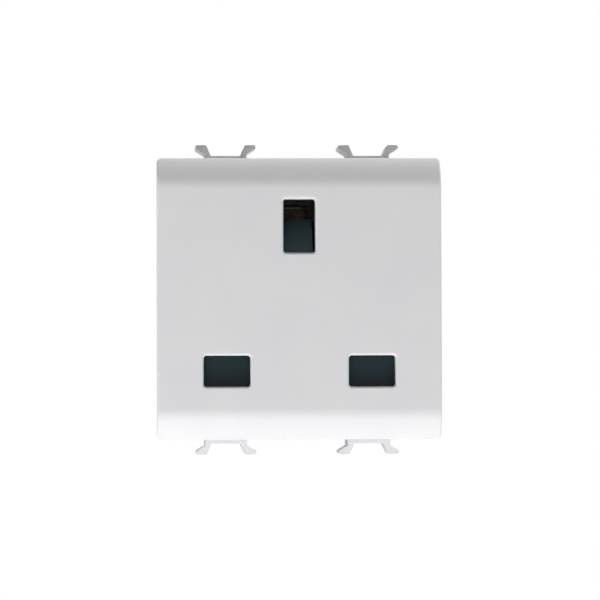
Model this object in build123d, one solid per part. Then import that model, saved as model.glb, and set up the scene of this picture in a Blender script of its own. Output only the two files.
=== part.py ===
from build123d import *
import os
from collections import namedtuple

# A two-module British 13 A socket insert that snaps into a support frame.
# Millimetres, with X to the right, Y into the wall and Z up.
# The origin is the centre of the face that the plug rests on.

# Plug pins, which set the places and depths of everything inside
pin_spacing = 22.2
grip_pin_thickness = 4.0
live_pin_length = 17.7
earth_pin_length = 22.7
pin_end_room = 1.3

# Face and cover
face_width = 43.5
face_height = 43.2
outline_corner = 0.7
band_height = 3.9
band_drop = 3.0
band_bulge = 0.38
crease_radius = 3.5
face_edge_radius = 0.3
front_wall = 2.4
side_wall = 1.5
pillar_size = 4.5

# Apertures
live_aperture_width = 7.15
live_aperture_height = 4.75
earth_aperture_width = 4.9
earth_aperture_height = 8.2
aperture_corner = 0.45
rim_radius = 0.4
collar_wall = 1.0
collar_room = 0.3

# Shutter and its spring
shutter_gap = 0.3
shutter_thickness = 3.0
flap_overlap = 0.4
open_margin = 0.25
stem_rail = 1.6
crossbar_height = 3.6
ramp_side_gap = 0.225
ramp_lead = 0.6
rail_width = 1.2
rail_length = 11.0
spring_radius = 1.25
spring_wire = 0.35
spring_length = 11.6
spring_turns = 6.5
spring_sides = 5
spring_seat_gap = 0.1
spring_side_gap = 0.5
peg_gap = 0.3
peg_length = 1.6
lug_height = 2.0

# Contact retainer
retainer_thickness = 2.0
plate_fit = 0.2

# Rear housing
flange_inset = 0.15
flange_thickness = 2.0
body_side_inset = 0.75
body_end_inset = 1.0
body_wall = 1.6
body_corner = 1.0
body_edge = 0.6
head_room = 0.3
barrier_thickness = 1.2
tower_wall = 1.4
tower_corner = 2.0
tower_edge = 0.6
block_fit = 0.2
well_clearance = 0.4
well_depth = 4.0
wire_hole_clearance = 0.4
wire_hole_margin = 1.0
funnel = 0.6

# Snap clips on the top and bottom of the housing
clip_pitch = 22.1
clip_setback = 0.5
clip_length = 8.5
clip_lead_in = 2.4
clip_leg_half = 3.25
clip_tip_half = 4.65
clip_tip_radius = 0.25
clip_mouth_radius = 0.3
clip_floor_half = 2.27
clip_mouth_half = 3.0
clip_floor_rise = 0.67
clip_flare_rise = 1.0
clip_tip_rise = 1.8
clip_top_rise = 2.33

# Contacts and their grip springs
leaf_thickness = 0.7
leaf_bend = 0.5
live_leaf_width = 5.4
earth_leaf_width = 7.0
leaf_slot_width = 0.8
leaf_squeeze = 0.2
leaf_root_room = 0.5
leaf_lip_flare = 1.1
leaf_lip_length = 2.6
leaf_front_gap = 0.3
earth_front_gap = 0.6
grip_thickness = 0.5
grip_width = 3.6
grip_gap = 0.12

# Terminals, rivets and screws
block_size = 7.6
block_edge = 0.4
block_face_wall = 1.6
block_thread_wall = 2.4
tunnel_radius = 2.0
rivet_radius = 1.1
rivet_head_radius = 1.9
rivet_head_height = 0.7
rivet_reach = 1.1
terminal_screw_radius = 1.6
terminal_head_radius = 2.5
terminal_head_height = 1.8
terminal_screw_lift = 0.9
assembly_screw_radius = 1.25
assembly_screw_reach = 4.2
assembly_head_radius = 2.0
assembly_head_height = 1.7
screw_fit = 0.1
slot_width = 0.8
slot_depth = 0.9

# Depths behind the face, from front to rear
shutter_front = front_wall + shutter_gap
shutter_rear = shutter_front + shutter_thickness
retainer_front = shutter_rear + shutter_gap
parting = retainer_front + retainer_thickness
flange_rear = parting + flange_thickness

# Places in the plane of the face
pin_offset = pin_spacing / 2
cavity_width = face_width - 2 * side_wall
cavity_height = face_height - 2 * side_wall
screw_x = (cavity_width - pillar_size) / 2
screw_z = (cavity_height - pillar_size) / 2
body_width = face_width - 2 * body_side_inset
body_height = face_height - 2 * body_end_inset

# Shutter travel and the heights that follow from it
travel = live_aperture_height + flap_overlap + open_margin
flap_width = live_aperture_width + 2 * flap_overlap
flap_height = live_aperture_height + 2 * flap_overlap
flap_bottom = -pin_offset - flap_height / 2
window_bottom = flap_bottom + crossbar_height
lug_bottom = window_bottom + shutter_gap
lug_top = lug_bottom + lug_height
window_top = lug_top + spring_length + 2 * spring_seat_gap
ramp_bottom = pin_offset - earth_aperture_height / 2
ramp_front = front_wall + ramp_lead
ramp_rear = ramp_front + travel
ramp_width = earth_aperture_width - 2 * ramp_side_gap
spring_depth = (shutter_front + shutter_rear) / 2
spring_outer = spring_radius + spring_wire / 2
peg_radius = spring_radius - spring_wire / 2 - peg_gap
window_width = 2 * (spring_outer + spring_side_gap)
stem_width = window_width + 2 * stem_rail

# Holes and pockets of the housing, which follow what goes into them
well_radius = terminal_head_radius + well_clearance
wire_hole_radius = tunnel_radius + wire_hole_clearance
clasp_half = grip_pin_thickness / 2 + leaf_root_room + leaf_thickness + grip_gap + grip_thickness
pocket_size = 2 * (max(block_size / 2, clasp_half) + block_fit)
tower_size = pocket_size + 2 * tower_wall

# A pole's place, its pin, its contact strip and the way its wire comes in
Pole = namedtuple("Pole", "name x z pin_length leaf_front leaf_width turn wire_way")
live_leaf_front = parting + leaf_front_gap
earth_leaf_front = ramp_rear + earth_front_gap
line = Pole("line", pin_offset, -pin_offset, live_pin_length, live_leaf_front, live_leaf_width, 0, -1)
neutral = line._replace(name="neutral", x=-pin_offset)
earth = Pole("earth", 0, pin_offset, earth_pin_length, earth_leaf_front, earth_leaf_width, 90, -1)
poles = [line, neutral, earth]


def base_front(pole):
    """Depth of the contact's base, just past the pin's end."""
    return pole.pin_length + pin_end_room


def block_front(pole):
    """Depth of the terminal block, which the contact and its grip spring lie on."""
    return base_front(pole) + leaf_thickness + grip_thickness


def tunnel_depth(pole):
    """Depth of the wire tunnel's axis."""
    return block_front(pole) + block_face_wall + tunnel_radius


def block_rear(pole):
    """Depth of the terminal block's rear, where its clamp screw goes in."""
    return tunnel_depth(pole) + tunnel_radius + block_thread_wall


def tower_rear(pole):
    """Depth of the housing's tower behind the terminal."""
    return block_rear(pole) + well_depth


body_rear = tunnel_depth(line) - wire_hole_radius - wire_hole_margin
cavity_floor = body_rear - body_wall


def slab(outline, front, rear):
    """An outline, drawn as seen from the front, filled from one depth to another."""
    plane = Plane((0, rear, 0), x_dir=(1, 0, 0), z_dir=(0, -1, 0))
    return extrude(plane * outline, amount=rear - front)


def across(profile, width):
    """A profile of depth and height, extruded evenly to both sides."""
    return extrude(Plane.YZ * profile, amount=width / 2, both=True)


def rod(radius, front, rear, x=0, z=0):
    """A round bar or hole along the depth."""
    return slab(Pos(x, z) * Circle(radius), front, rear)


def at_pole(pole, shape):
    """Moves a shape from the middle to a pole, turned the way that its pin lies."""
    return Pos(pole.x, 0, pole.z) * Rot(0, pole.turn, 0) * shape


def corners(x, z):
    """The four places that mirror each other about the middle."""
    return [(x, z), (-x, z), (-x, -z), (x, -z)]


def face_form():
    """The cover's outer form: a flat face that rolls back in a convex band above and below."""
    edge = face_height / 2
    crease = edge - band_height
    outline = (
        Line((0, -crease), (0, crease))
        + SagittaArc((0, crease), (band_drop, edge), band_bulge)
        + Polyline((band_drop, edge), (parting, edge), (parting, -edge), (band_drop, -edge))
        + SagittaArc((band_drop, -edge), (0, -crease), band_bulge)
    )
    form = across(make_face(outline), face_width)
    form &= slab(RectangleRounded(face_width, face_height, outline_corner), 0, parting)
    creases = form.edges().filter_by(Axis.X).group_by(Axis.Y)[0]
    form = fillet(creases, crease_radius)
    rim = [edge for edge in form.faces().filter_by(looks_forward).edges() if on_outline(edge)]
    return fillet(rim, face_edge_radius)


def looks_forward(face):
    """Whether a face is part of the front: the flat face, a band or the crease between them."""
    return face.center().Y < band_drop and face.normal_at().Y < -0.5


def on_outline(edge):
    """Whether an edge of the front lies on the cover's outer sides."""
    middle = edge @ 0.5
    corner_room = outline_corner / 2
    beside = abs(middle.X) > face_width / 2 - corner_room
    return beside or abs(middle.Z) > face_height / 2 - corner_room


def live_apertures():
    """The outlines of the line and neutral apertures."""
    hole = RectangleRounded(live_aperture_width, live_aperture_height, aperture_corner)
    return Sketch() + [Pos(side * pin_offset, -pin_offset) * hole for side in (1, -1)]


def earth_aperture():
    """The outline of the earth aperture."""
    hole = RectangleRounded(earth_aperture_width, earth_aperture_height, aperture_corner)
    return Pos(0, pin_offset) * hole


def earth_collar():
    """Guide round the sides and top of the earth aperture, open below for the ramp."""
    room = earth_aperture_width + 2 * collar_room
    bottom = ramp_bottom + shutter_gap
    top = pin_offset + earth_aperture_height / 2 + collar_room + collar_wall
    height = top - bottom
    outline = Rectangle(room + 2 * collar_wall, height) - Pos(0, -collar_wall) * Rectangle(room, height)
    return slab(Pos(0, bottom + height / 2) * outline, front_wall, shutter_rear)


def shutter_rails():
    """Two ribs behind the face that keep the shutter's stem upright."""
    middle = ramp_bottom - shutter_gap - rail_length / 2
    place = stem_width / 2 + shutter_gap + rail_width / 2
    rail = Rectangle(rail_width, rail_length)
    rails = Sketch() + [Pos(side * place, middle) * rail for side in (1, -1)]
    return slab(rails, front_wall, shutter_rear)


def front_cover():
    """The white face with its apertures, earth collar, rails and screw pillars."""
    cover = face_form() - slab(Rectangle(cavity_width, cavity_height), front_wall, parting)
    for x, z in corners(screw_x, screw_z):
        pillar = Pos(x, z) * Rectangle(pillar_size, pillar_size)
        cover += slab(pillar, front_wall, parting)
    cover += earth_collar() + shutter_rails()
    cover -= slab(live_apertures() + earth_aperture(), 0, front_wall)
    hole_end = parting - assembly_screw_reach - shutter_gap
    for x, z in corners(screw_x, screw_z):
        cover -= rod(assembly_screw_radius + screw_fit, hole_end, parting, x, z)
    face = cover.faces().sort_by(Axis.Y)[0]
    rims = [edge for wire in face.inner_wires() for edge in wire.edges()]
    return fillet(rims, rim_radius)


def contact_retainer():
    """The insulating plate behind the shutter, with the lug that the spring stands on."""
    outline = Rectangle(cavity_width - 2 * plate_fit, cavity_height - 2 * plate_fit)
    notch = pillar_size + 2 * plate_fit
    for x, z in corners(screw_x, screw_z):
        outline -= Pos(x, z) * Rectangle(notch, notch)
    slot_bottom = ramp_bottom - travel - shutter_gap
    slot_top = pin_offset + earth_aperture_height / 2
    slot = Rectangle(earth_aperture_width + 2 * plate_fit, slot_top - slot_bottom)
    outline -= live_apertures() + Pos(0, (slot_top + slot_bottom) / 2) * slot
    plate = slab(outline, retainer_front, parting)
    lug = Rectangle(window_width - 2 * shutter_gap, lug_height)
    plate += slab(Pos(0, lug_bottom + lug_height / 2) * lug, shutter_front, retainer_front)
    peg = Cylinder(peg_radius, peg_length, align=(Align.CENTER, Align.CENTER, Align.MIN))
    return plate + Pos(0, spring_depth, lug_top) * peg


def shutter():
    """The slider: two flaps on a crossbar, a stem with the spring's window, and the earth pin's ramp."""
    flap = Rectangle(flap_width, flap_height)
    outline = Sketch() + [Pos(side * pin_offset, -pin_offset) * flap for side in (1, -1)]
    outline += Pos(0, flap_bottom + crossbar_height / 2) * Rectangle(2 * pin_offset, crossbar_height)
    stem_height = ramp_bottom - flap_bottom
    outline += Pos(0, flap_bottom + stem_height / 2) * Rectangle(stem_width, stem_height)
    window_height = window_top - window_bottom
    outline -= Pos(0, window_bottom + window_height / 2) * Rectangle(window_width, window_height)
    slider = slab(outline, shutter_front, shutter_rear)
    ramp_top = ramp_bottom + travel
    wedge = Polyline((ramp_front, ramp_bottom), (ramp_rear, ramp_top), (ramp_rear, ramp_bottom), close=True)
    slider += across(make_face(wedge), ramp_width)
    peg = Cylinder(peg_radius, peg_length, align=(Align.CENTER, Align.CENTER, Align.MAX))
    return slider + Pos(0, spring_depth, window_top) * peg


def shutter_spring():
    """The compression spring between the retainer's lug and the top of the shutter's window."""
    low = lug_top + spring_seat_gap + spring_wire / 2
    height = spring_length - spring_wire
    coil = Helix(height / spring_turns, height, spring_radius)
    section = Plane(coil @ 0, z_dir=coil % 0) * RegularPolygon(spring_wire / 2, spring_sides)
    return Pos(0, spring_depth, low) * sweep(section, path=coil)


def clip():
    """One U-shaped snap clip on the top edge, with its horns spread and its rear sloped for entry."""
    top = face_height / 2
    root = body_height / 2 - body_wall / 2
    half = Polyline(
        (0, root),
        (clip_leg_half, root),
        (clip_leg_half, top + clip_flare_rise),
        (clip_tip_half, top + clip_tip_rise),
        (clip_tip_half, top + clip_top_rise),
        (clip_mouth_half, top + clip_top_rise),
        (clip_floor_half, top + clip_floor_rise),
        (0, top + clip_floor_rise),
        close=True,
    )
    horn = make_face(half)
    tips = horn.vertices().filter_by(lambda point: point.X > clip_tip_half - clip_tip_radius)
    horn = fillet(tips, clip_tip_radius)
    mouth = horn.vertices().sort_by_distance((clip_mouth_half, top + clip_top_rise))[0]
    horn = fillet(mouth, clip_mouth_radius)
    front = parting + clip_setback
    rear = front + clip_length
    u_shape = slab(horn + mirror(horn, about=Plane.YZ), front, rear)
    side = Polyline(
        (front, root),
        (front, top + clip_top_rise),
        (rear - clip_lead_in, top + clip_top_rise),
        (rear, top + clip_floor_rise),
        (rear, root),
        close=True,
    )
    return u_shape & across(make_face(side), 4 * clip_tip_half)


def body_outline():
    """The housing behind the flange: a square with a notch in each corner for a screw's head."""
    inner_width = 2 * (screw_x - assembly_head_radius - head_room)
    inner_height = 2 * (screw_z - assembly_head_radius - head_room)
    return Rectangle(body_width, inner_height) + Rectangle(inner_width, body_height)


def tower(pole):
    """The solid tower behind one pole's terminal."""
    outline = Pos(pole.x, pole.z) * RectangleRounded(tower_size, tower_size, tower_corner)
    solid = slab(outline, cavity_floor, tower_rear(pole))
    return chamfer(solid.faces().sort_by(Axis.Y)[-1].edges(), tower_edge)


def pocket(pole):
    """The room for a pole's contact and block, the driver's well behind it and its wire's hole."""
    room = slab(Rectangle(pocket_size, pocket_size), cavity_floor, block_rear(pole))
    room += slab(Rectangle(pole.leaf_width + 2 * block_fit, pocket_size), parting, cavity_floor)
    well = rod(well_radius, block_rear(pole), tower_rear(pole))
    return at_pole(pole, room + well) + Pos(pole.x, tunnel_depth(pole), pole.z) * wire_hole(pole)


def wire_hole(pole):
    """The hole in a tower's wall that leads a wire to the tunnel, wider at its mouth."""
    mouth = Plane((0, 0, pole.wire_way * tower_size / 2), z_dir=(0, 0, -pole.wire_way))
    hole = extrude(mouth * Circle(wire_hole_radius), amount=tower_size / 2)
    return hole + extrude(mouth * Circle(wire_hole_radius + funnel), amount=funnel, taper=45)


def barriers():
    """The ribs that part the three poles inside the housing."""
    floor_half = body_height / 2 - body_wall
    upright = Pos(0, -floor_half / 2) * Rectangle(barrier_thickness, floor_half)
    level = Rectangle(body_width - 2 * body_wall, barrier_thickness)
    return slab(upright + level, parting, cavity_floor)


def rear_housing():
    """The white cup behind the cover, with its snap clips, barriers and terminal towers."""
    flange_width = face_width - 2 * flange_inset
    flange_height = face_height - 2 * flange_inset
    flange = RectangleRounded(flange_width, flange_height, outline_corner)
    housing = slab(flange, parting, flange_rear)
    outside = fillet(body_outline().vertices(), body_corner)
    body = slab(outside, parting, body_rear)
    housing += chamfer(body.faces().sort_by(Axis.Y)[-1].edges(), body_edge)
    for pole in poles:
        housing += tower(pole)
    for side in (1, -1):
        upper = Pos(side * clip_pitch / 2, 0, 0) * clip()
        housing += upper + mirror(upper, about=Plane.XY)
    inside = offset(body_outline(), -body_wall, kind=Kind.INTERSECTION)
    housing -= slab(inside, parting, cavity_floor)
    housing += barriers()
    for pole in poles:
        housing -= pocket(pole)
    for x, z in corners(screw_x, screw_z):
        housing -= rod(assembly_screw_radius + screw_fit, parting, flange_rear, x, z)
    return housing


def strip(points, bend, thickness, width):
    """A metal strip folded along the inner side of a path of depth and height."""
    path = FilletPolyline(*points, radius=bend)
    return across(make_face(offset(path, thickness, side=Side.LEFT, closed=True)), width)


def contact(pole):
    """The brass strip that grips a pin: flared lips, sprung leaves and a base on the terminal."""
    grip = grip_pin_thickness / 2 - leaf_squeeze
    root = grip_pin_thickness / 2 + leaf_root_room
    throat = pole.leaf_front + leaf_lip_length
    base = base_front(pole)
    upper = [(pole.leaf_front, grip + leaf_lip_flare), (throat, grip), (base, root)]
    lower = [(depth, -height) for depth, height in reversed(upper)]
    leaves = strip(upper + lower, leaf_bend, leaf_thickness, pole.leaf_width)
    slot_end = (throat + base) / 2
    span = 4 * (root + leaf_lip_flare)
    leaves -= slab(Rectangle(leaf_slot_width, span), 0, slot_end)
    leaves -= rod(rivet_radius + screw_fit, base, base + leaf_thickness)
    return at_pole(pole, leaves)


def grip_spring(pole):
    """The steel clip round a contact's leaves, which keeps them closed on the pin."""
    skin = leaf_thickness + grip_gap
    grip = grip_pin_thickness / 2 - leaf_squeeze + skin
    root = grip_pin_thickness / 2 + leaf_root_room + skin
    base = base_front(pole) + leaf_thickness
    throat = pole.leaf_front + leaf_lip_length + leaf_bend
    upper = [(throat, grip), (base, root)]
    lower = [(depth, -height) for depth, height in reversed(upper)]
    clasp = strip(upper + lower, leaf_bend + leaf_thickness, grip_thickness, grip_width)
    clasp -= rod(rivet_radius + screw_fit, base, base + grip_thickness)
    return at_pole(pole, clasp)


def terminal(pole):
    """The brass pillar block with its wire tunnel, clamp screw hole and rivet hole."""
    front = block_front(pole)
    rear = block_rear(pole)
    block = slab(Rectangle(block_size, block_size), front, rear)
    block = chamfer(block.edges().filter_by(Axis.Z), block_edge)
    block -= Pos(0, tunnel_depth(pole), 0) * Cylinder(tunnel_radius, block_size)
    block -= rod(terminal_screw_radius + screw_fit, tunnel_depth(pole), rear)
    block -= rod(rivet_radius + screw_fit, front, front + rivet_reach + screw_fit)
    return Pos(pole.x, 0, pole.z) * block


def headed_pin(radius, length, head_radius, head_height):
    """A pin that reaches forward from the flat head that it hangs on."""
    return rod(radius, -length, 0) + rod(head_radius, 0, head_height)


def contact_rivet(pole):
    """The rivet that holds a contact and its grip spring on the block."""
    length = leaf_thickness + grip_thickness + rivet_reach
    rivet = headed_pin(rivet_radius, length, rivet_head_radius, rivet_head_height)
    return Pos(pole.x, base_front(pole), pole.z) * Rot(0, 0, 180) * rivet


def terminal_screw(pole):
    """A slotted clamp screw, backed off so that its tip leaves the wire tunnel free."""
    length = block_thread_wall + terminal_screw_lift
    screw = headed_pin(terminal_screw_radius, length, terminal_head_radius, terminal_head_height)
    slot = Rectangle(2 * terminal_head_radius, slot_width)
    screw -= slab(slot, terminal_head_height - slot_depth, terminal_head_height)
    return Pos(pole.x, tunnel_depth(pole) + tunnel_radius + length, pole.z) * screw


def assembly_screw(x, z):
    """A cross-head screw through the housing's flange into a pillar of the cover."""
    length = flange_thickness + assembly_screw_reach
    screw = headed_pin(assembly_screw_radius, length, assembly_head_radius, assembly_head_height)
    cross_length = 2 * assembly_screw_radius
    cross = Rectangle(cross_length, slot_width) + Rectangle(slot_width, cross_length)
    screw -= slab(cross, assembly_head_height - slot_depth, assembly_head_height)
    return Pos(x, flange_rear, z) * screw


pieces = {
    "front_cover": front_cover(),
    "contact_retainer": contact_retainer(),
    "shutter": shutter(),
    "shutter_spring": shutter_spring(),
    "rear_housing": rear_housing(),
}
for pole in poles:
    pieces[pole.name + "_contact"] = contact(pole)
    pieces[pole.name + "_grip_spring"] = grip_spring(pole)
    pieces[pole.name + "_terminal"] = terminal(pole)
pieces["contact_rivets"] = Compound(children=[contact_rivet(pole) for pole in poles])
pieces["terminal_screws"] = Compound(children=[terminal_screw(pole) for pole in poles])
screws = [assembly_screw(x, z) for x, z in corners(screw_x, screw_z)]
pieces["assembly_screws"] = Compound(children=screws)

os.makedirs("parts", exist_ok=True)
for name, shape in pieces.items():
    export_step(shape, "parts/" + name + ".step")
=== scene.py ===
import math

import bmesh
import bpy
from mathutils import Matrix, Vector


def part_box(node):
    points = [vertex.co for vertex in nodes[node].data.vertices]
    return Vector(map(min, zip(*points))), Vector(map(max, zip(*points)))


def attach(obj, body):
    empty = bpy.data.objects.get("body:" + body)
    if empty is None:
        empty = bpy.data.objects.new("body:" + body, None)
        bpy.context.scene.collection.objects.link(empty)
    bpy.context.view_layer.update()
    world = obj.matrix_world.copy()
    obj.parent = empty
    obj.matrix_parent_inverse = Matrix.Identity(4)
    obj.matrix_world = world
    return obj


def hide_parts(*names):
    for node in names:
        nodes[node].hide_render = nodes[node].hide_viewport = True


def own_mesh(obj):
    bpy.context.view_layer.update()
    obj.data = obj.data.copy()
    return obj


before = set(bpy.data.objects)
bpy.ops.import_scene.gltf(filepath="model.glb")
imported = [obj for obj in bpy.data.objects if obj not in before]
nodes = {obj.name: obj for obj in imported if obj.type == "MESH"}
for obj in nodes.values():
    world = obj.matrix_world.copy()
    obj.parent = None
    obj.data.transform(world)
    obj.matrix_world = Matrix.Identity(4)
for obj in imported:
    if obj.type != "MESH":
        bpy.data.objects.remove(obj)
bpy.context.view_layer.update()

# A white two-module British 13 A socket insert, in metres, with its face towards -Y
MM = 0.001
UP = Vector((0, 0, 1))
POLES = ("line", "neutral", "earth")
scene = bpy.context.scene

# Photograph: the camera's place, the point that it looks at, its roll in radians and its lens
CAMERA_PLACE = Vector((-27.7, -600.0, -14.6)) * MM
CAMERA_TARGET = Vector((0.05, 0.0, -0.27)) * MM
CAMERA_ROLL = -0.003
CAMERA_LENS = 236.1
SENSOR_WIDTH = 36.0

# Studio: a soft key from below, a weak fill in front, and lights from above, from both sides and behind
KEY_PLACE = Vector((-60.0, -410.0, -434.0)) * MM
KEY_SIZE = 0.30
KEY_WATTS = 3.12
FILL_PLACE = Vector((-300.0, -740.0, 60.0)) * MM
FILL_SIZE = 0.40
FILL_WATTS = 0.42
TOP_PLACE = Vector((180.0, 180.0, 550.0)) * MM
TOP_SIZE = 0.25
TOP_WATTS = 3.8
LEFT_PLACE = Vector((-620.0, -60.0, -40.0)) * MM
LEFT_WATTS = 1.3
RIGHT_PLACE = Vector((620.0, -60.0, -40.0)) * MM
RIGHT_WATTS = 0.95
BACK_PLACE = Vector((200.0, 620.0, 60.0)) * MM
BACK_WATTS = 1.7
SIDE_SIZE = 0.30
AMBIENT_LEVEL = 0.10
FLOOR_HEIGHT = -0.70
FLOOR_HALF = 2.0
FLOOR_COLOUR = (0.88, 0.88, 0.88)
FLOOR_ROUGHNESS = 0.9
FLOOR_GLOW = 0.9

# Colours
WHITE = (0.80, 0.80, 0.81)
WHITE_SHADE = (0.77, 0.77, 0.785)
HOUSING_WHITE = (0.73, 0.735, 0.745)
HOUSING_SHADE = (0.70, 0.705, 0.72)
DARK = (0.006, 0.020, 0.0235)
DARK_SHADE = (0.0045, 0.0155, 0.0185)
# Dark plastic's worn edges: wear, and lighter still as a painted sheen
DARK_WORN_SHEEN = (0.012, 0.028, 0.032)
# Painted light: the pale colour of the shutter's ramp, which lies in shade
DARK_RAMP_PAINTED_LIGHT = (0.064, 0.106, 0.118)
BRASS = (0.42, 0.335, 0.20)
BRASS_TARNISH = (0.27, 0.21, 0.12)
DULL_BRASS = (0.43, 0.395, 0.32)
DULL_BRASS_TARNISH = (0.28, 0.258, 0.21)
STEEL = (0.56, 0.56, 0.57)
STEEL_SHADE = (0.40, 0.40, 0.42)
BLUED_STEEL = (0.10, 0.105, 0.12)
BLUED_STEEL_SHADE = (0.06, 0.06, 0.07)
ZINC = (0.60, 0.60, 0.59)
ZINC_SHADE = (0.44, 0.45, 0.47)

# Finishes of the plastics: the roughness, the height of the grain and the specular level
FACE_FINISH = {"roughness": 0.40, "grain": 0.004 * MM, "specular": 0.35}
HOUSING_FINISH = {"roughness": 0.50, "grain": 0.008 * MM, "specular": 0.25}
DARK_FINISH = {"roughness": 0.42, "grain": 0.010 * MM, "specular": 0.25}

# Finishes of the metals: the roughness, the width of the drawn lines and their scale along each axis
STRIP_FINISH = {"roughness": 0.60, "line_size": 0.12 * MM, "stretch": (1, 0.08, 1)}
BLOCK_FINISH = {"roughness": 0.52, "line_size": 0.18 * MM, "stretch": (1, 1, 0.08)}
SPRING_FINISH = {"roughness": 0.28, "line_size": 0.10 * MM, "stretch": (1, 0.1, 1)}
GRIP_FINISH = {"roughness": 0.45, "line_size": 0.10 * MM, "stretch": (1, 0.1, 1)}
SCREW_FINISH = {"roughness": 0.36, "line_size": 0.20 * MM, "stretch": (1, 1, 1)}

# Patterns in the plastics: the size of their features, and how far they change the colour and the roughness
MOTTLE_SIZE = 9 * MM
SPECKLE_SIZE = 0.35 * MM
SPECKLE_SHARE = 0.35
# The rub pattern on edges: real wear in the roughness, and on dark plastic also a painted sheen in the
# colour
RUB_SIZE = 3 * MM
RUB_SHARE = 0.6
RUB_ROUGHNESS = -0.12
SATIN_SIZE = 1.6 * MM
SATIN_ROUGHNESS = (-0.05, 0.06)
GRAIN_SIZE = 0.11 * MM
RIPPLE_SIZE = 4 * MM

# Patterns in the metals
TARNISH_SIZE = 2.2 * MM
TARNISH_SHARE = 0.8
TARNISH_ROUGHNESS = (-0.07, 0.10)
LINE_SHARE = 0.35
LINE_DEPTH = 0.004 * MM

# Broken edges: their radius, the samples that smooth them, and the cosines between which their mask fades
PLASTIC_EDGE = 0.12 * MM
METAL_EDGE = 0.06 * MM
BEVEL_SAMPLES = 6
EDGE_FADE = (0.86, 0.99)

# The shutter's ramp: its normal, and the cosines between which its paler colour fades in, painted light on
# this upward face that lies in shade
RAMP_NORMAL = (0, -math.sqrt(0.5), math.sqrt(0.5))
RAMP_FADE = (0.90, 0.98)

# Sockets of a mix of colours
MIX_SHARE = 0
MIX_FROM = 6
MIX_TO = 7
MIX_RESULT = 2

# Edges of the added pieces that turn by more than this stay sharp
SHARP_ANGLE = math.radians(35)

# Screws: heads and shanks have a radius and a length, rounds are radii of head edges, turns are in degrees
SCREW_SIDES = 40
THREAD_ROWS = 8
THREAD_SHARE = 0.45
HEAD_ROWS = 6
BLADE_WIDTH = 0.8 * MM
BLADE_DEPTH = 0.9 * MM
CROSS_LENGTH = 2.5 * MM
CROSS_TAPER = 0.55
SLOT_LENGTH = 7.5 * MM
ASSEMBLY_HEAD = (2.0 * MM, 1.7 * MM)
ASSEMBLY_ROUND = 0.765 * MM
ASSEMBLY_SHANK = (1.25 * MM, 6.2 * MM)
ASSEMBLY_PITCH = 0.9 * MM
ASSEMBLY_TURNS = (12, -35, 64, 27)
TERMINAL_HEAD = (2.5 * MM, 1.8 * MM)
TERMINAL_ROUND = 0.45 * MM
TERMINAL_SHANK = (1.6 * MM, 3.3 * MM)
TERMINAL_PITCH = 0.6 * MM
TERMINAL_LIFT = 0.9 * MM
TERMINAL_TURNS = (18, -40, 75)

# Spring: its wire's diameter, its turns, of which some lie closed at each end, and its mesh
SPRING_WIRE = 0.35 * MM
SPRING_TURNS = 8.5
SPRING_DEAD_TURNS = 1.0
SPRING_SIDES = 10
SPRING_STEPS = 36

# Marks beside the terminal towers, raised from the housing's rear wall
BODY_REAR = 20.4 * MM
TOWER_SKIN = 1.6 * MM
MARK_GAP = 1.2 * MM
MARK_HEIGHT = 3.0 * MM
MARK_WIDTH = 2.2 * MM
MARK_STROKE = 0.5 * MM
MARK_SLANT = 0.85 * MM
MARK_RELIEF = 0.25 * MM
MARK_SINK = 0.1 * MM
MARK_EDGE = 0.06 * MM
MARK_EDGE_STEPS = 2
EARTH_BAR_PITCH = 0.85 * MM
EARTH_BAR_SHARES = (0.6, 0.25)


def put_camera():
    """The camera at the photograph's viewing angle."""
    data = bpy.data.cameras.new("photo_camera")
    data.sensor_width = SENSOR_WIDTH
    data.lens = CAMERA_LENS
    camera = bpy.data.objects.new("photo_camera", data)
    scene.collection.objects.link(camera)
    aim = (CAMERA_TARGET - CAMERA_PLACE).to_track_quat("-Z", "Y").to_matrix().to_4x4()
    camera.matrix_world = Matrix.Translation(CAMERA_PLACE) @ aim @ Matrix.Rotation(CAMERA_ROLL, 4, "Z")
    scene.camera = camera


def put_light(name, place, size, watts):
    """A soft square light that looks at the socket."""
    data = bpy.data.lights.new(name, "AREA")
    data.size = size
    data.energy = watts
    light = bpy.data.objects.new(name, data)
    scene.collection.objects.link(light)
    aim = (-place).to_track_quat("-Z", "Y").to_matrix().to_4x4()
    light.matrix_world = Matrix.Translation(place) @ aim
    light.visible_camera = False
    light.visible_glossy = False


def feed(tree, value, socket):
    """Links another node's value to a socket, or sets a plain value on it."""
    if isinstance(value, bpy.types.NodeSocket):
        tree.links.new(value, socket)
    else:
        socket.default_value = value


def calculate(tree, operation, *values):
    """The result of a Math node."""
    node = tree.nodes.new("ShaderNodeMath")
    node.operation = operation
    for value, socket in zip(values, node.inputs):
        feed(tree, value, socket)
    return node.outputs[0]


def cosine(tree, direction, other):
    """The cosine of the angle between two directions."""
    node = tree.nodes.new("ShaderNodeVectorMath")
    node.operation = "DOT_PRODUCT"
    feed(tree, direction, node.inputs[0])
    feed(tree, other, node.inputs[1])
    return node.outputs["Value"]


def seen_directly(tree):
    """1 for what the camera sees straight, in a reflection or through glass, and 0 for light on things."""
    path = tree.nodes.new("ShaderNodeLightPath")
    level = path.outputs["Is Camera Ray"]
    for name in ("Is Glossy Ray", "Is Transmission Ray"):
        level = calculate(tree, "MAXIMUM", level, path.outputs[name])
    return level


def put_world():
    """A white surround for the camera, and an even dim light for the object."""
    world = bpy.data.worlds.new("studio")
    world.use_nodes = True
    scene.world = world
    tree = world.node_tree
    background = tree.nodes["Background"]
    background.inputs["Color"].default_value = (1, 1, 1, 1)
    strength = tree.nodes.new("ShaderNodeMapRange")
    strength.inputs["To Min"].default_value = AMBIENT_LEVEL
    strength.inputs["To Max"].default_value = 1.0
    tree.links.new(seen_directly(tree), strength.inputs["Value"])
    tree.links.new(strength.outputs["Result"], background.inputs["Strength"])


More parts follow.
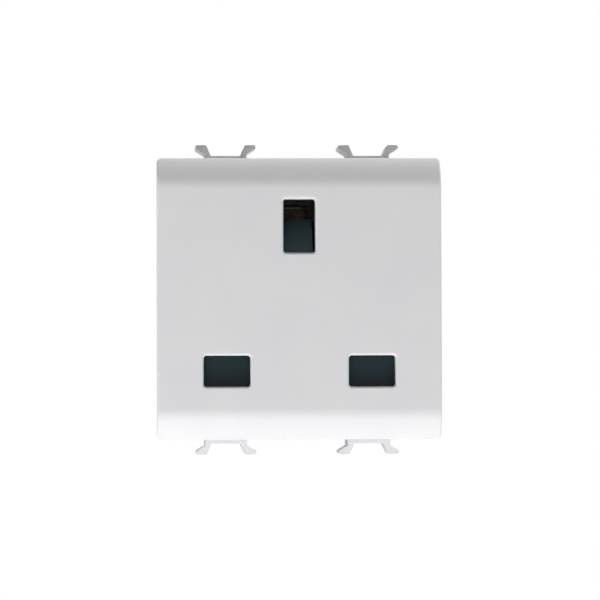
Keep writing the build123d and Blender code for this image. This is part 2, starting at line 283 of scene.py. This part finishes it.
def floor_material():
    """Pale paper that shows white to the camera and still takes a trace of shadow."""
    material = bpy.data.materials.new("floor_paper")
    material.use_nodes = True
    tree = material.node_tree
    shader = tree.nodes["Principled BSDF"]
    shader.inputs["Base Color"].default_value = (*FLOOR_COLOUR, 1)
    shader.inputs["Roughness"].default_value = FLOOR_ROUGHNESS
    shader.inputs["Emission Color"].default_value = (1, 1, 1, 1)
    glow = tree.nodes.new("ShaderNodeMapRange")
    glow.inputs["To Max"].default_value = FLOOR_GLOW
    tree.links.new(seen_directly(tree), glow.inputs["Value"])
    tree.links.new(glow.outputs["Result"], shader.inputs["Emission Strength"])
    return material


def put_floor():
    """A plain pale floor below the view."""
    mesh = bpy.data.meshes.new("floor")
    half = FLOOR_HALF
    corners = [(-half, -half), (half, -half), (half, half), (-half, half)]
    mesh.from_pydata([(x, y, FLOOR_HEIGHT) for x, y in corners], [], [(0, 1, 2, 3)])
    mesh.materials.append(floor_material())
    floor = bpy.data.objects.new("floor", mesh)
    scene.collection.objects.link(floor)


def new_material(name):
    """A material, its nodes, its shader, and the places on the object that its patterns use."""
    material = bpy.data.materials.new(name)
    material.use_nodes = True
    tree = material.node_tree
    place = tree.nodes.new("ShaderNodeTexCoord").outputs["Object"]
    return material, tree, tree.nodes["Principled BSDF"], place


def noise(tree, place, size, detail, stretch=(1, 1, 1)):
    """Soft noise with features of about that size, longer along an axis where stretch is under 1."""
    mapping = tree.nodes.new("ShaderNodeMapping")
    mapping.inputs["Scale"].default_value = [share / size for share in stretch]
    tree.links.new(place, mapping.inputs["Vector"])
    texture = tree.nodes.new("ShaderNodeTexNoise")
    texture.inputs["Scale"].default_value = 1.0
    texture.inputs["Detail"].default_value = detail
    tree.links.new(mapping.outputs["Vector"], texture.inputs["Vector"])
    return texture.outputs[0]


def spread(tree, value, low, high, start=0.3, end=0.7):
    """The value's range from start to end, spread from low to high."""
    node = tree.nodes.new("ShaderNodeMapRange")
    node.inputs["From Min"].default_value = start
    node.inputs["From Max"].default_value = end
    node.inputs["To Min"].default_value = low
    node.inputs["To Max"].default_value = high
    tree.links.new(value, node.inputs["Value"])
    return node.outputs["Result"]


def tint(tree, share, colour, other):
    """A colour, or another node's colours, going over to one more colour by a share."""
    node = tree.nodes.new("ShaderNodeMix")
    node.data_type = "RGBA"
    start = colour if isinstance(colour, bpy.types.NodeSocket) else (*colour, 1)
    feed(tree, share, node.inputs[MIX_SHARE])
    feed(tree, start, node.inputs[MIX_FROM])
    feed(tree, (*other, 1), node.inputs[MIX_TO])
    return node.outputs[MIX_RESULT]


def bump(tree, height, distance, normal):
    """A normal raised by a height pattern."""
    node = tree.nodes.new("ShaderNodeBump")
    node.inputs["Distance"].default_value = distance
    tree.links.new(height, node.inputs["Height"])
    tree.links.new(normal, node.inputs["Normal"])
    return node.outputs["Normal"]


def soft_edges(tree, radius):
    """The normal of edges broken by a small radius, and a mask of where they are."""
    bevel = tree.nodes.new("ShaderNodeBevel")
    bevel.samples = BEVEL_SAMPLES
    bevel.inputs["Radius"].default_value = radius
    normal = bevel.outputs["Normal"]
    flat = tree.nodes.new("ShaderNodeNewGeometry").outputs["Normal"]
    return normal, spread(tree, cosine(tree, normal, flat), 1.0, 0.0, *EDGE_FADE)


def moulded_plastic(name, colour, shade, worn_and_sheen, roughness, grain, specular):
    """Moulded plastic: slight mottling, a fine satin grain, faint flow ripples and polished edges, whose
    lighter worn colour on dark plastic is partly a painted sheen.
    """
    material, tree, shader, place = new_material(name)
    shader.inputs["Specular IOR Level"].default_value = specular
    normal, edges = soft_edges(tree, PLASTIC_EDGE)
    mottle = spread(tree, noise(tree, place, MOTTLE_SIZE, detail=3), 0.0, 1.0)
    speckle = spread(tree, noise(tree, place, SPECKLE_SIZE, detail=2), 0.0, SPECKLE_SHARE)
    wear = spread(tree, noise(tree, place, RUB_SIZE, detail=3), 0.0, RUB_SHARE)
    rub_and_sheen = calculate(tree, "MULTIPLY", edges, wear)
    colours = tint(tree, mottle, colour, shade)
    colours = tint(tree, speckle, colours, shade)
    # Worn edges take the worn colour: wear, and on dark plastic also a painted sheen
    colours = tint(tree, rub_and_sheen, colours, worn_and_sheen)
    tree.links.new(colours, shader.inputs["Base Color"])
    smooth, dull = SATIN_ROUGHNESS
    satin = spread(tree, noise(tree, place, SATIN_SIZE, detail=5), roughness + smooth, roughness + dull)
    gloss = calculate(tree, "MULTIPLY_ADD", rub_and_sheen, RUB_ROUGHNESS, satin)
    tree.links.new(gloss, shader.inputs["Roughness"])
    normal = bump(tree, noise(tree, place, GRAIN_SIZE, detail=1), grain, normal)
    normal = bump(tree, noise(tree, place, RIPPLE_SIZE, detail=1), grain, normal)
    tree.links.new(normal, shader.inputs["Normal"])
    return material


def shutter_plastic():
    """The shutter's dark plastic, with painted light on the ramp that the earth pin slides down: the ramp
    faces up into shade and is tinted paler.
    """
    material = moulded_plastic("shutter_plastic", DARK, DARK_SHADE, DARK_WORN_SHEEN, **DARK_FINISH)
    tree = material.node_tree
    colour = tree.nodes["Principled BSDF"].inputs["Base Color"]
    normal = tree.nodes.new("ShaderNodeTexCoord").outputs["Normal"]
    # Painted light: faces turned like the ramp are tinted paler, as if lit
    ramp = spread(tree, cosine(tree, normal, RAMP_NORMAL), 0.0, 1.0, *RAMP_FADE)
    tree.links.new(tint(tree, ramp, colour.links[0].from_socket, DARK_RAMP_PAINTED_LIGHT), colour)
    return material


def worked_metal(name, colour, shade, roughness, line_size, stretch):
    """Metal with drawn lines along it, patches of tarnish and rubbed edges."""
    material, tree, shader, place = new_material(name)
    shader.inputs["Metallic"].default_value = 1.0
    normal, edges = soft_edges(tree, METAL_EDGE)
    patches = noise(tree, place, TARNISH_SIZE, detail=4)
    lines = noise(tree, place, line_size, detail=3, stretch=stretch)
    colours = tint(tree, spread(tree, patches, 0.0, TARNISH_SHARE), colour, shade)
    colours = tint(tree, spread(tree, lines, 0.0, LINE_SHARE), colours, shade)
    colours = tint(tree, edges, colours, colour)
    tree.links.new(colours, shader.inputs["Base Color"])
    smooth, dull = TARNISH_ROUGHNESS
    tree.links.new(spread(tree, patches, roughness + smooth, roughness + dull), shader.inputs["Roughness"])
    tree.links.new(bump(tree, lines, LINE_DEPTH, normal), shader.inputs["Normal"])
    return material


def dress(material, *names):
    """Gives CAD nodes their finish."""
    for name in names:
        slots = nodes[name].data.materials
        slots.clear()
        slots.append(material)


def put_mesh(name, bm):
    """An object made from a bmesh, with its faces turned outwards."""
    bmesh.ops.recalc_face_normals(bm, faces=bm.faces)
    mesh = bpy.data.meshes.new(name)
    bm.to_mesh(mesh)
    bm.free()
    item = bpy.data.objects.new(name, mesh)
    scene.collection.objects.link(item)
    return item


def add_piece(name, bm, material):
    """A piece that rides on the socket, smooth but for its real edges."""
    piece = put_mesh(name, bm)
    piece.data.shade_smooth()
    piece.data.set_sharp_from_angle(angle=SHARP_ANGLE)
    piece.data.materials.append(material)
    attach(piece, "socket")
    return piece


def tube(bm, rings):
    """Joins rings of points, in order, into a closed tube."""
    loops = [[bm.verts.new(point) for point in ring] for ring in rings]
    for first, second in zip(loops, loops[1:]):
        for side in range(len(first)):
            after = (side + 1) % len(first)
            bm.faces.new((first[side], first[after], second[after], second[side]))
    bm.faces.new(loops[0])
    bm.faces.new(loops[-1])


def thread_radius(radius, depth, angle, pitch):
    """The radius of a screw thread's flank, a ridge that climbs once round in each pitch."""
    phase = (depth / pitch - angle / math.tau) % 1
    ridge = 1 - abs(2 * phase - 1)
    return radius - THREAD_SHARE * pitch * (1 - ridge)


def circle(radius, depth, pitch=None):
    """A ring about the depth axis, threaded where a pitch is given."""
    points = []
    for step in range(SCREW_SIDES):
        angle = math.tau * step / SCREW_SIDES
        reach = thread_radius(radius, depth, angle, pitch) if pitch else radius
        points.append((reach * math.cos(angle), depth, reach * math.sin(angle)))
    return points


def screw_form(shank, pitch, head, head_round):
    """A threaded screw along the depth, its head seated at the origin and rounded behind."""
    radius, length = shank
    head_radius, head_height = head
    rings = [circle(radius - pitch, -length), circle(radius, pitch - length, pitch)]
    rows = math.ceil((length - pitch) / pitch * THREAD_ROWS)
    for row in range(1, rows + 1):
        rings.append(circle(radius, (length - pitch) * (row / rows - 1), pitch))
    rings.append(circle(head_radius, 0))
    for step in range(HEAD_ROWS + 1):
        turn = math.pi / 2 * step / HEAD_ROWS
        reach = head_radius - head_round * (1 - math.cos(turn))
        rings.append(circle(reach, head_height - head_round * (1 - math.sin(turn))))
    bm = bmesh.new()
    tube(bm, rings)
    return bm


def driver_blade(length, top, taper=1, turn=0):
    """A driver's blade in a head's top, shorter at its tip by the taper and turned about the depth axis."""
    blade = bmesh.new()
    for vertex in bmesh.ops.create_cube(blade, size=1)["verts"]:
        share = taper if vertex.co.y < 0 else 1
        depth = top + (vertex.co.y - 0.5) * BLADE_DEPTH
        vertex.co = (vertex.co.x * length * share, depth, vertex.co.z * BLADE_WIDTH)
    bmesh.ops.rotate(blade, verts=blade.verts, matrix=Matrix.Rotation(turn, 3, "Y"))
    return blade


def cut(form, blades):
    """The form less each blade, as a new bmesh."""
    body = put_mesh("cut_body", form)
    tools = [put_mesh(f"cut_tool_{index}", blade) for index, blade in enumerate(blades)]
    for tool in tools:
        change = body.modifiers.new(tool.name, "BOOLEAN")
        change.object = tool
    shaped = body.evaluated_get(bpy.context.evaluated_depsgraph_get())
    result = bmesh.new()
    result.from_mesh(shaped.to_mesh())
    for helper in [*tools, body]:
        bpy.data.objects.remove(helper)
    return result


def spread_copies(form, seats, turns):
    """Copies of one form at several seats, each turned about the depth axis by its angle in degrees."""
    mesh = bpy.data.meshes.new("form")
    form.to_mesh(mesh)
    form.free()
    copies = bmesh.new()
    for seat, turn in zip(seats, turns):
        known = set(copies.verts)
        copies.from_mesh(mesh)
        fresh = [vertex for vertex in copies.verts if vertex not in known]
        place = Matrix.Translation(seat) @ Matrix.Rotation(math.radians(turn), 4, "Y")
        bmesh.ops.transform(copies, verts=fresh, matrix=place)
    return copies


def assembly_screws(finish):
    """The four cross-head screws behind the flange, each turned as it came to rest."""
    head_radius, head_height = ASSEMBLY_HEAD
    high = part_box("assembly_screws")[1]
    across = high.x - head_radius
    up = high.z - head_radius
    depth = high.y - head_height
    seats = [Vector((x, depth, z)) for x, z in ((across, up), (-across, up), (-across, -up), (across, -up))]
    form = screw_form(ASSEMBLY_SHANK, ASSEMBLY_PITCH, ASSEMBLY_HEAD, ASSEMBLY_ROUND)
    blades = [driver_blade(CROSS_LENGTH, head_height, CROSS_TAPER, turn) for turn in (0, math.pi / 2)]
    copies = spread_copies(cut(form, blades), seats, ASSEMBLY_TURNS)
    screws = add_piece("assembly_screws_turned", copies, finish)
    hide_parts("assembly_screws")


def terminal_screws(finish):
    """The three slotted clamp screws, backed off from their blocks."""
    seats = []
    for pole in POLES:
        low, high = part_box(pole + "_terminal")
        middle = (low + high) / 2
        seats.append(Vector((middle.x, high.y + TERMINAL_LIFT, middle.z)))
    form = screw_form(TERMINAL_SHANK, TERMINAL_PITCH, TERMINAL_HEAD, TERMINAL_ROUND)
    blade = driver_blade(SLOT_LENGTH, TERMINAL_HEAD[1])
    copies = spread_copies(cut(form, [blade]), seats, TERMINAL_TURNS)
    screws = add_piece("terminal_screws_turned", copies, finish)
    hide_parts("terminal_screws")


def coil_height(turn, length):
    """How far up its length the spring is after some turns, with closed turns at both ends."""
    dead = SPRING_DEAD_TURNS
    live = SPRING_TURNS - 2 * dead
    pitch = (length - 2 * dead * SPRING_WIRE) / live
    low = min(turn, dead) * SPRING_WIRE
    middle = min(max(turn - dead, 0), live) * pitch
    return low + middle + max(turn - dead - live, 0) * SPRING_WIRE


def wire_ring(centre, out):
    """A round section of the spring's wire, square to its way round."""
    ring = []
    for side in range(SPRING_SIDES):
        angle = math.tau * side / SPRING_SIDES
        spoke = out * math.cos(angle) + UP * math.sin(angle)
        ring.append(centre + spoke * SPRING_WIRE / 2)
    return ring


def shutter_spring(finish):
    """A round-wire compression spring, which shortens as the shutter slides down; here it is wound at one
    fixed length.
    """
    low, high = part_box("shutter_spring")
    middle = (low + high) / 2
    radius = (high.x - low.x - SPRING_WIRE) / 2
    length = high.z - low.z - SPRING_WIRE
    rings = []
    for step in range(round(SPRING_TURNS * SPRING_STEPS) + 1):
        turn = step / SPRING_STEPS
        out = Vector((math.cos(math.tau * turn), math.sin(math.tau * turn), 0))
        height = low.z + SPRING_WIRE / 2 + coil_height(turn, length)
        rings.append(wire_ring(Vector((middle.x, middle.y, height)) + out * radius, out))
    bm = bmesh.new()
    tube(bm, rings)
    spring = add_piece("shutter_spring_wound", bm, finish)
    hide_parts("shutter_spring")
    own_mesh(spring)


def letter_l():
    """The outline of an L."""
    wide, high, bar = MARK_WIDTH, MARK_HEIGHT, MARK_STROKE
    return [[(0, 0), (wide, 0), (wide, bar), (bar, bar), (bar, high), (0, high)]]


def letter_n():
    """The outline of an N."""
    wide, high, bar, slant = MARK_WIDTH, MARK_HEIGHT, MARK_STROKE, MARK_SLANT
    left = [(0, 0), (bar, 0), (bar, high - slant), (wide - bar, 0)]
    right = [(wide, 0), (wide, high), (wide - bar, high), (wide - bar, slant)]
    return [left + right + [(bar, high), (0, high)]]


def earth_sign():
    """The outlines of the earth sign: a bar with a stem on it, and two shorter bars below."""
    wide, high, bar = MARK_WIDTH, MARK_HEIGHT, MARK_STROKE
    middle, base = wide / 2, high / 2
    top = base + bar
    left, right = middle - bar / 2, middle + bar / 2
    stem = [(right, top), (right, high), (left, high), (left, top)]
    bars = [[(0, base), (wide, base), (wide, top), *stem, (0, top)]]
    for step, share in enumerate(EARTH_BAR_SHARES, 1):
        left, right = middle - middle * share, middle + middle * share
        level = base - step * EARTH_BAR_PITCH
        bars.append([(left, level), (right, level), (right, level + bar), (left, level + bar)])
    return bars


def pole_mark(name, outlines, x, z, finish):
    """A raised generic mark on the housing's rear, readable from behind."""
    bm = bmesh.new()
    base = BODY_REAR - MARK_SINK
    start = x + MARK_WIDTH / 2
    bottom = z - MARK_HEIGHT / 2
    for outline in outlines:
        face = bm.faces.new([bm.verts.new((start - u, base, bottom + v)) for u, v in outline])
        raised = bmesh.ops.extrude_face_region(bm, geom=[face])["geom"]
        top = [item for item in raised if isinstance(item, bmesh.types.BMVert)]
        bmesh.ops.translate(bm, verts=top, vec=(0, MARK_SINK + MARK_RELIEF, 0))
    rim = [edge for edge in bm.edges if all(vertex.co.y > BODY_REAR for vertex in edge.verts)]
    bmesh.ops.bevel(bm, geom=rim, offset=MARK_EDGE, segments=MARK_EDGE_STEPS, affect="EDGES")
    add_piece(name, bm, finish)


def pole_marks(finish):
    """The marks at the three terminal towers: above line and neutral, and beside earth."""
    outlines = {"line": letter_l(), "neutral": letter_n(), "earth": earth_sign()}
    for pole in POLES:
        low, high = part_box(pole + "_terminal")
        middle = (low + high) / 2
        reach = (high.x - low.x) / 2 + TOWER_SKIN + MARK_GAP
        x, z = middle.x, middle.z + reach + MARK_HEIGHT / 2
        if pole == "earth":
            x, z = middle.x - reach - MARK_WIDTH / 2, middle.z
        pole_mark(pole + "_mark", outlines[pole], x, z, finish)


white_face = moulded_plastic("white_face", WHITE, WHITE_SHADE, WHITE, **FACE_FINISH)
white_housing = moulded_plastic(
    "white_housing", HOUSING_WHITE, HOUSING_SHADE, HOUSING_WHITE, **HOUSING_FINISH)
dark_plastic = moulded_plastic("dark_plastic", DARK, DARK_SHADE, DARK_WORN_SHEEN, **DARK_FINISH)
# The shutter, with painted light on its ramp
ramp_painted_light_plastic = shutter_plastic()
brass_strip = worked_metal("brass_strip", DULL_BRASS, DULL_BRASS_TARNISH, **STRIP_FINISH)
brass_block = worked_metal("brass_block", BRASS, BRASS_TARNISH, **BLOCK_FINISH)
spring_steel = worked_metal("spring_steel", STEEL, STEEL_SHADE, **SPRING_FINISH)
blued_steel = worked_metal("blued_steel", BLUED_STEEL, BLUED_STEEL_SHADE, **GRIP_FINISH)
zinc_screw = worked_metal("zinc_screw", ZINC, ZINC_SHADE, **SCREW_FINISH)

dress(white_face, "front_cover")
dress(white_housing, "rear_housing")
dress(dark_plastic, "contact_retainer")
dress(ramp_painted_light_plastic, "shutter")
dress(brass_strip, *[pole + "_contact" for pole in POLES], "contact_rivets")
dress(brass_block, *[pole + "_terminal" for pole in POLES])
dress(blued_steel, *[pole + "_grip_spring" for pole in POLES])
dress(spring_steel, "shutter_spring")
dress(zinc_screw, "terminal_screws", "assembly_screws")

assembly_screws(zinc_screw)
terminal_screws(zinc_screw)
shutter_spring(spring_steel)
pole_marks(white_housing)

put_camera()
put_world()
put_floor()
put_light("key_light", KEY_PLACE, KEY_SIZE, KEY_WATTS)
put_light("fill_light", FILL_PLACE, FILL_SIZE, FILL_WATTS)
put_light("top_light", TOP_PLACE, TOP_SIZE, TOP_WATTS)
put_light("left_light", LEFT_PLACE, SIDE_SIZE, LEFT_WATTS)
put_light("right_light", RIGHT_PLACE, SIDE_SIZE, RIGHT_WATTS)
put_light("back_light", BACK_PLACE, SIDE_SIZE, BACK_WATTS)
scene.view_settings.view_transform = "Standard"
